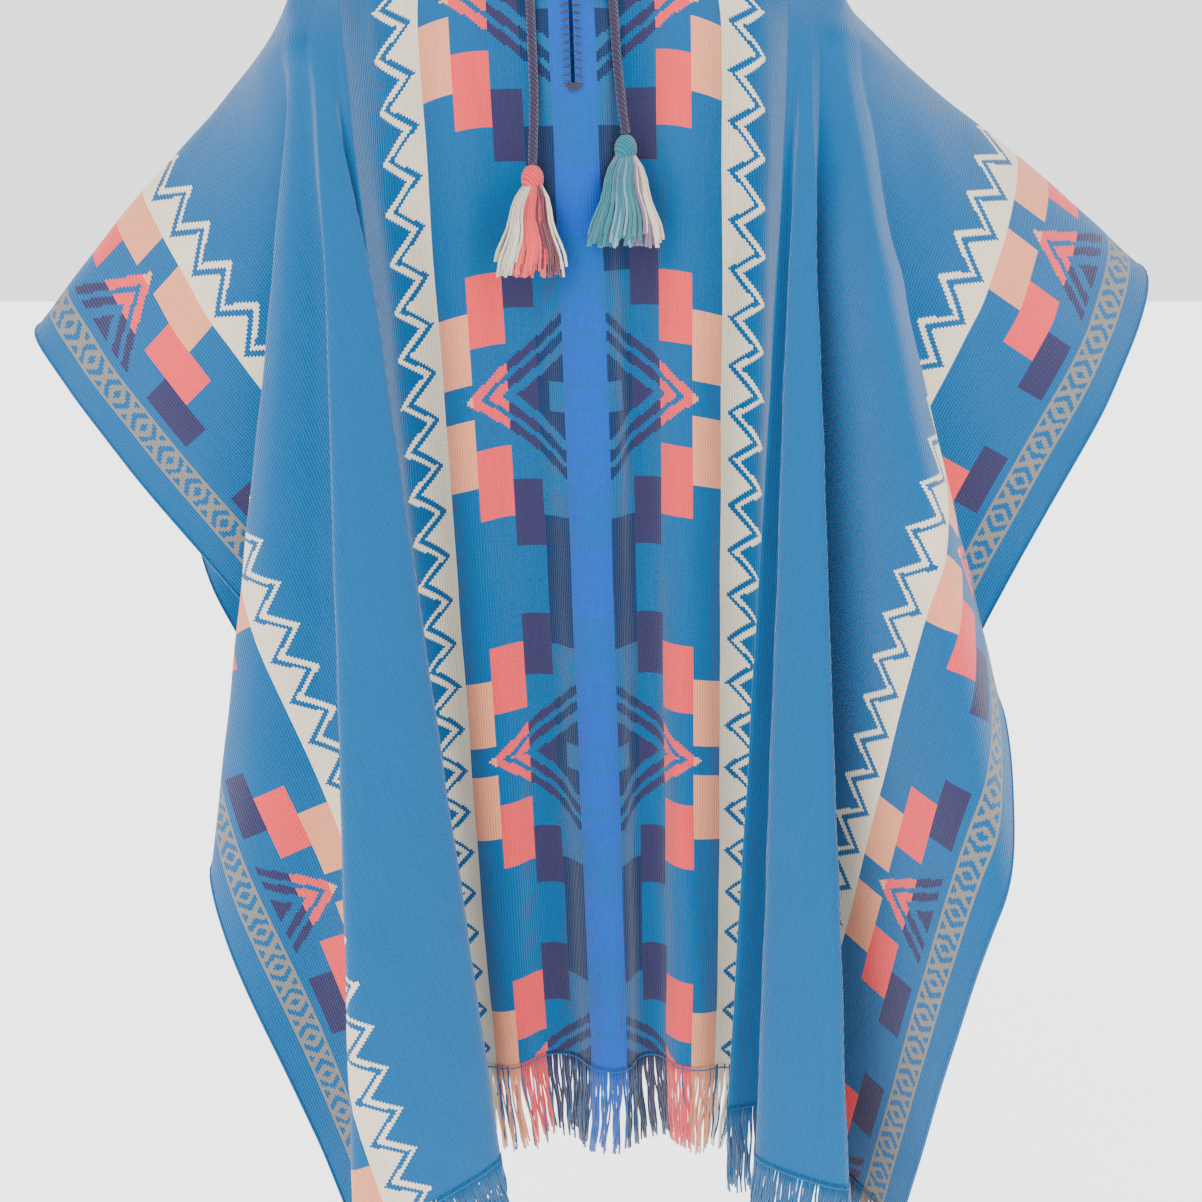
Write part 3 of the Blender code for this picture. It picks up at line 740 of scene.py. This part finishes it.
def fine_net():
    """The cut's net again, with many more columns and rows."""
    corner = math.atan2(HALF_WIDTH - FLAT_HALF, LENGTH)
    half = np.linspace(SLIT_HALF, FLAT_HALF, NET_FLAT)
    flat = np.concatenate([-half[::-1], half])
    top = np.sqrt(np.maximum(NECK_RADIUS**2 - flat**2, 0.0))
    slit = (SLIT_END - NECK_RADIUS) / (LENGTH - NECK_RADIUS)
    shares = np.concatenate([
        np.linspace(0, slit, SLIT_ROWS), np.linspace(slit, 1, PANEL_ROWS)[1:]])
    flat_u = np.repeat(flat[:, None], len(shares), axis=1)
    flat_v = top[:, None] + (LENGTH - top[:, None]) * shares
    angles = np.concatenate([
        np.linspace(0.0, corner, NET_FAN)[1:],
        np.linspace(corner, math.radians(45), NET_FAN)[1:],
        np.linspace(math.radians(45), math.radians(90), NET_ARM)[1:]])
    to_hem = LENGTH / np.maximum(np.cos(angles), 1e-9)
    reach = np.minimum(to_hem, (HALF_WIDTH - FLAT_HALF) / np.sin(angles))[:, None] * shares
    fan_u = FLAT_HALF + reach * np.sin(angles)[:, None]
    fan_v = reach * np.cos(angles)[:, None]
    u = np.concatenate([-fan_u[::-1], flat_u, fan_u])
    v = np.concatenate([fan_v[::-1], flat_v, fan_v])
    return u, v, len(angles)


def cloth_piece(face, material):
    """One woven panel as a thin shell on its solid, with its place in the cut kept as UV."""
    u, v, fan = fine_net()
    place = dressed(face, u, v).reshape(-1, 3)
    columns, rows = u.shape
    faces = []
    for i in range(columns - 1):
        for j in range(rows - 1):
            if face == "front" and i == columns // 2 - 1 and j < SLIT_ROWS - 1:
                continue
            a, b = i * rows + j, i * rows + j + 1
            corners = (a, b, b + rows, a + rows)
            in_fan = i < fan or i >= columns - fan - 1
            if j == 0 and in_fan:
                corners = (a, b, b + rows)
            faces.append(corners if face == "front" else corners[::-1])
    mesh = mesh_of(face + "_cloth", place, faces)
    layer = mesh.uv_layers.new(name="cut")
    spots = np.empty(len(mesh.loops), dtype=int)
    mesh.loops.foreach_get("vertex_index", spots)
    cut = np.stack([u.ravel()[spots], v.ravel()[spots]], axis=1)
    layer.data.foreach_set("uv", cut.ravel())
    return new_piece(face + "_cloth", mesh, material, "cloth", face + "_panel")


def stripe_yarn(u):
    """The yarn of the stripe at one place across the cut."""
    for edge, yarn in STRIPES:
        if abs(u) < edge:
            return yarn
    return "ground"


def fringe_piece(face, material, rng):
    """The warp ends left long below the hem, in their stripes' colours."""
    roots = np.linspace(-HALF_WIDTH + 0.001, HALF_WIDTH - 0.001, FRINGE_STRANDS)
    roots = roots + rng.uniform(-0.0006, 0.0006, FRINGE_STRANDS)
    roots = np.clip(roots, -HALF_WIDTH + 0.0005, HALF_WIDTH - 0.0005)
    length = FRINGE_REACH * rng.uniform(0.80, 1.0, FRINGE_STRANDS)
    lock = np.floor((roots + HALF_WIDTH) / LOCK_WIDTH)
    gather = (lock + 0.5) * LOCK_WIDTH - HALF_WIDTH
    lean = np.sin(lock * 12.9898) * 0.006
    paths = np.zeros((FRINGE_STRANDS, STRAND_STEPS, 3))
    start = dressed(face, roots, np.full(FRINGE_STRANDS, LENGTH - 0.003))
    close = roots + (gather - roots) * 0.55
    curl = rng.uniform(0, 2 * math.pi, FRINGE_STRANDS)
    for j in range(STRAND_STEPS):
        share = j / (STRAND_STEPS - 1)
        hang = cloth(face, roots + (close - roots) * share, LENGTH + length * share * 0.96)
        sway = np.stack([
            lean * share**1.5 + 0.0012 * np.sin(curl + 6 * share),
            0.0014 * np.cos(curl * 1.7 + 5 * share) * np.minimum(1, 4 * share),
            np.zeros(FRINGE_STRANDS)], axis=1)
        paths[:, j] = hang + sway * min(1.0, 3 * share)
    paths[:, 0] = start
    colours = []
    for u in roots:
        yarn = stripe_yarn(u)
        if yarn == "cream" and rng.random() < 0.35:
            yarn = "ground"
        if rng.random() < 0.12:
            yarn = "ground"
        shade = rng.uniform(0.8, 1.1)
        colours.append([min(1.0, c * shade) for c in linear(yarn)[:3]] + [1.0])
    mesh = strand_mesh(face + "_fringe", paths, STRAND_RADIUS, colours)
    return new_piece(face + "_fringe", mesh, material, "fringe", "fringe_" + face)


def edge_piece(face, material):
    """The rolled edges of one panel: both selvages and the hem."""
    count = 150
    down = np.linspace(0.0, LENGTH, count)
    over = np.linspace(-HALF_WIDTH, HALF_WIDTH, 400)
    paths = [
        dressed(face, np.full(count, -HALF_WIDTH), down),
        dressed(face, np.full(count, HALF_WIDTH), down)]
    hem = dressed(face, over, np.full(400, LENGTH))
    colour = [linear("ground")] * 2
    mesh = strand_mesh(face + "_selvage", paths, SELVAGE_RADIUS, colour, sides=6)
    selvage = new_piece(face + "_selvage", mesh, material, "cloth")
    colours = [linear("ground")]
    mesh = strand_mesh(face + "_hem", [hem], HEM_RADIUS, colours, sides=6)
    return [selvage, new_piece(face + "_hem", mesh, material, "cloth")]


def tube_piece(name, points, radius, material, slot, *nodes):
    """A round cord along the points, as a curve with closed ends."""
    curve = bpy.data.curves.new(name, "CURVE")
    curve.dimensions = "3D"
    curve.bevel_depth = radius
    curve.bevel_resolution = 3
    curve.use_fill_caps = True
    spline = curve.splines.new("POLY")
    spline.points.add(len(points) - 1)
    for spot, point in zip(spline.points, points):
        spot.co = (*point, 1.0)
    curve.materials.append(material)
    piece = bpy.data.objects.new(name, curve)
    bpy.context.scene.collection.objects.link(piece)
    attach(piece, "root")
    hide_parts(*nodes)
    return piece


def tassel_pieces(side, palette, yarn, wrap, rng):
    """A tassel: a wrapped head on the cord's end and a skirt of cut yarn."""
    top = np.array(cord_route(side)[-1])
    spot_u, spot_v = np.meshgrid(np.linspace(-0.09, 0.09, 73), np.linspace(0.16, 0.36, 81))
    spots = cloth("front", spot_u.ravel(), spot_v.ravel())
    head = bmesh.new()
    bmesh.ops.create_uvsphere(head, u_segments=24, v_segments=14, radius=1.0)
    for corner in head.verts:
        corner.co = Vector((
            top[0] + corner.co.x * TASSEL_HEAD[0], top[1] + corner.co.y * TASSEL_HEAD[1],
            top[2] - HEAD_DROP + corner.co.z * TASSEL_HEAD[2]))
    mesh = bpy.data.meshes.new("tassel_head_" + side)
    head.to_mesh(mesh)
    head.free()
    mesh.polygons.foreach_set("use_smooth", [True] * len(mesh.polygons))
    cap = new_piece("tassel_head_" + side, mesh, wrap, "yarn")
    paths = []
    colours = []
    for _ in range(TASSEL_STRANDS):
        spread = math.sqrt(rng.random())
        angle = rng.uniform(0, 2 * math.pi)
        x, y = spread * math.cos(angle), spread * math.sin(angle)
        length = TASSEL_SKIRT * rng.uniform(0.82, 1.0)
        path = []
        for share in np.linspace(0, 1, STRAND_STEPS):
            z = top[2] - SKIRT_DROP - length * share
            chest = min(chest_depth_at(spots, top[0], z), top[1] + 0.008)
            flare = 0.007 + 0.021 * share**0.8
            near = top[1] - 0.006 * y
            far = chest - 0.005 - 0.007 * (1 + y)
            path.append((
                top[0] + x * flare + 0.0012 * math.sin(9 * share + angle),
                near + (far - near) * smooth(share * 2), z))
        paths.append(path)
        place = 0.5 * (x + 1) * len(palette) + rng.uniform(-0.6, 0.6)
        name = palette[int(min(max(place, 0), len(palette) - 1))]
        shade = rng.uniform(0.85, 1.1)
        colours.append([min(1.0, c * shade) for c in linear(name)[:3]] + [1.0])
    mesh = strand_mesh("tassel_skirt_" + side, paths, SKIRT_STRAND_RADIUS, colours)
    skirt = new_piece("tassel_skirt_" + side, mesh, yarn, "yarn", "tassel_" + side)
    return [cap, skirt]


def stitch_piece(material):
    """Short whip stitches over both edges of the slit and round its end."""
    paths = []
    for side in (-1, 1):
        for v in np.arange(NECK_RADIUS + 0.004, SLIT_END, STITCH_PITCH):
            across = np.array([SLIT_HALF, SLIT_HALF + 0.0025, SLIT_HALF + 0.0055]) * side
            down = np.array([v, v + 0.0008, v + 0.0018])
            paths.append(dressed("front", across, down) + [0, -0.0008, 0])
    for turn in np.linspace(-60, 60, 5):
        way = math.radians(turn)
        reach = np.array([0.001, 0.004, 0.007])
        spots = dressed("front", reach * math.sin(way), SLIT_END + reach * math.cos(way))
        paths.append(spots + [0, -0.0008, 0])
    colours = [linear("cord")] * len(paths)
    mesh = strand_mesh("slit_stitches", paths, STITCH_RADIUS, colours, sides=5)
    return new_piece("slit_stitches", mesh, material, "binding")


def button_pieces(wood, yarn):
    """A dished round button under two short lengths of dark thread."""
    place, normal, down = frame_at("front", *BUTTON_PLACE)
    rings = [
        (0.0, 0.0006), (0.30, 0.0006), (0.62, 0.0008), (0.78, 0.0016), (0.92, 0.0017),
        (1.0, 0.0009), (1.0, -0.0010), (0.90, -0.0015), (0.0, -0.0015)]
    build = bmesh.new()
    loops = []
    for share, height in rings:
        loops.append([build.verts.new((
            BUTTON_RADIUS * share * math.cos(2 * math.pi * k / BUTTON_SIDES),
            BUTTON_RADIUS * share * math.sin(2 * math.pi * k / BUTTON_SIDES),
            height)) for k in range(BUTTON_SIDES)])
    for upper, lower in zip(loops, loops[1:]):
        for k in range(BUTTON_SIDES):
            n = (k + 1) % BUTTON_SIDES
            build.faces.new([upper[k], lower[k], lower[n], upper[n]])
    bmesh.ops.remove_doubles(build, verts=build.verts, dist=1e-6)
    stand = 0.5 * WALL + SEAM_GAP + 0.5 * BUTTON_THICKNESS
    turn = normal.to_track_quat("Z", "Y").to_matrix().to_4x4()
    build.transform(Matrix.Translation(place + normal * stand) @ turn)
    bmesh.ops.recalc_face_normals(build, faces=build.faces)
    mesh = bpy.data.meshes.new("wood_button")
    build.to_mesh(mesh)
    build.free()
    mesh.polygons.foreach_set("use_smooth", [True] * len(mesh.polygons))
    button = new_piece("wood_button", mesh, wood, "wood", "button")
    centre = place + normal * (stand + 0.0012)
    across = Vector((1, 0, 0)) * THREAD_HALF
    sink = normal * 0.001
    paths = []
    for lift in (-0.0007, 0.0007):
        row = centre + down * lift
        paths.append([row - across - sink, row, row + across - sink])
    mesh = strand_mesh("button_thread", paths, THREAD_RADIUS, [linear("cord")] * 2)
    return [button, new_piece("button_thread", mesh, yarn, "binding")]


def add_light(name, place, target, size, power):
    lamp = bpy.data.lights.new(name, "AREA")
    lamp.shape = "SQUARE"
    lamp.size = size
    lamp.energy = power
    thing = bpy.data.objects.new(name, lamp)
    thing.location = place
    thing.rotation_euler = (Vector(target) - Vector(place)).to_track_quat("-Z", "Y").to_euler()
    bpy.context.scene.collection.objects.link(thing)


def build_stage():
    """A pale floor under the hem, soft light all round and the photo's own viewpoint."""
    corners = [
        (-FLOOR_HALF_WIDTH, FLOOR_NEAR, FLOOR_Z), (FLOOR_HALF_WIDTH, FLOOR_NEAR, FLOOR_Z),
        (FLOOR_HALF_WIDTH, FLOOR_FAR, FLOOR_Z), (-FLOOR_HALF_WIDTH, FLOOR_FAR, FLOOR_Z)]
    mesh = mesh_of("floor", corners, [(0, 1, 2, 3)])
    n = Nodes("studio_floor")
    n.shader.inputs["Emission Color"].default_value = (1.0, 1.0, 1.0, 1.0)
    n.shader.inputs["Emission Strength"].default_value = 1.5
    mesh.materials.append(n.finish((0.90, 0.90, 0.90, 1.0), sheen=0.0))
    floor = bpy.data.objects.new("floor", mesh)
    bpy.context.scene.collection.objects.link(floor)
    world = bpy.data.worlds.new("studio")
    world.use_nodes = True
    sky = world.node_tree.nodes["Background"]
    sky.inputs["Color"].default_value = (0.95, 0.96, 0.98, 1.0)
    sky.inputs["Strength"].default_value = 2.1
    bpy.context.scene.world = world
    add_light("key", (-1.6, -2.4, 1.6), (0, 0, -0.5), 1.8, 40)
    add_light("fill", (2.2, -2.0, 0.6), (0, 0, -0.5), 2.2, 16)
    camera = bpy.data.objects.new("photo_camera", bpy.data.cameras.new("photo_camera"))
    camera.location = CAMERA_PLACE
    camera.rotation_euler = (math.radians(90 - CAMERA_PITCH), 0, 0)
    camera.data.lens = CAMERA_LENS
    camera.data.sensor_width = 36.0
    camera.data.clip_start = 0.01
    bpy.context.scene.collection.objects.link(camera)
    bpy.context.scene.camera = camera


def dress():
    rng = np.random.default_rng(11)
    woven = woven_material()
    yarn = yarn_material("loose_yarn")
    braid = braid_material("braided_cord", "cord")
    binding = braid_material("neck_band", "cord")
    neck = tube_piece("neck_band", neck_route(), BINDING_RADIUS, binding, "binding", "neck_binding")
    for face in ("front", "back"):
        panel = cloth_piece(face, woven)
        extras = edge_piece(face, yarn) + [fringe_piece(face, yarn, rng)]
        if face == "front":
            extras.append(stitch_piece(yarn))
    button_pieces(wood_material(), yarn)
    palettes = {
        "left": ["ecru", "ecru", "coral", "coral", "maroon", "cream"],
        "right": ["teal", "teal", "sky", "teal", "mauve", "cream"]}
    wraps = {
        "left": braid_material("left_wrap", "coral"),
        "right": braid_material("right_wrap", "teal")}
    for side in ("left", "right"):
        route = cord_route(side)
        cord = tube_piece("drawcord_" + side, route, CORD_RADIUS, braid, "cord", "cord_" + side)
        tassel = tassel_pieces(side, palettes[side], yarn, wraps[side], rng)


dress()
build_stage()
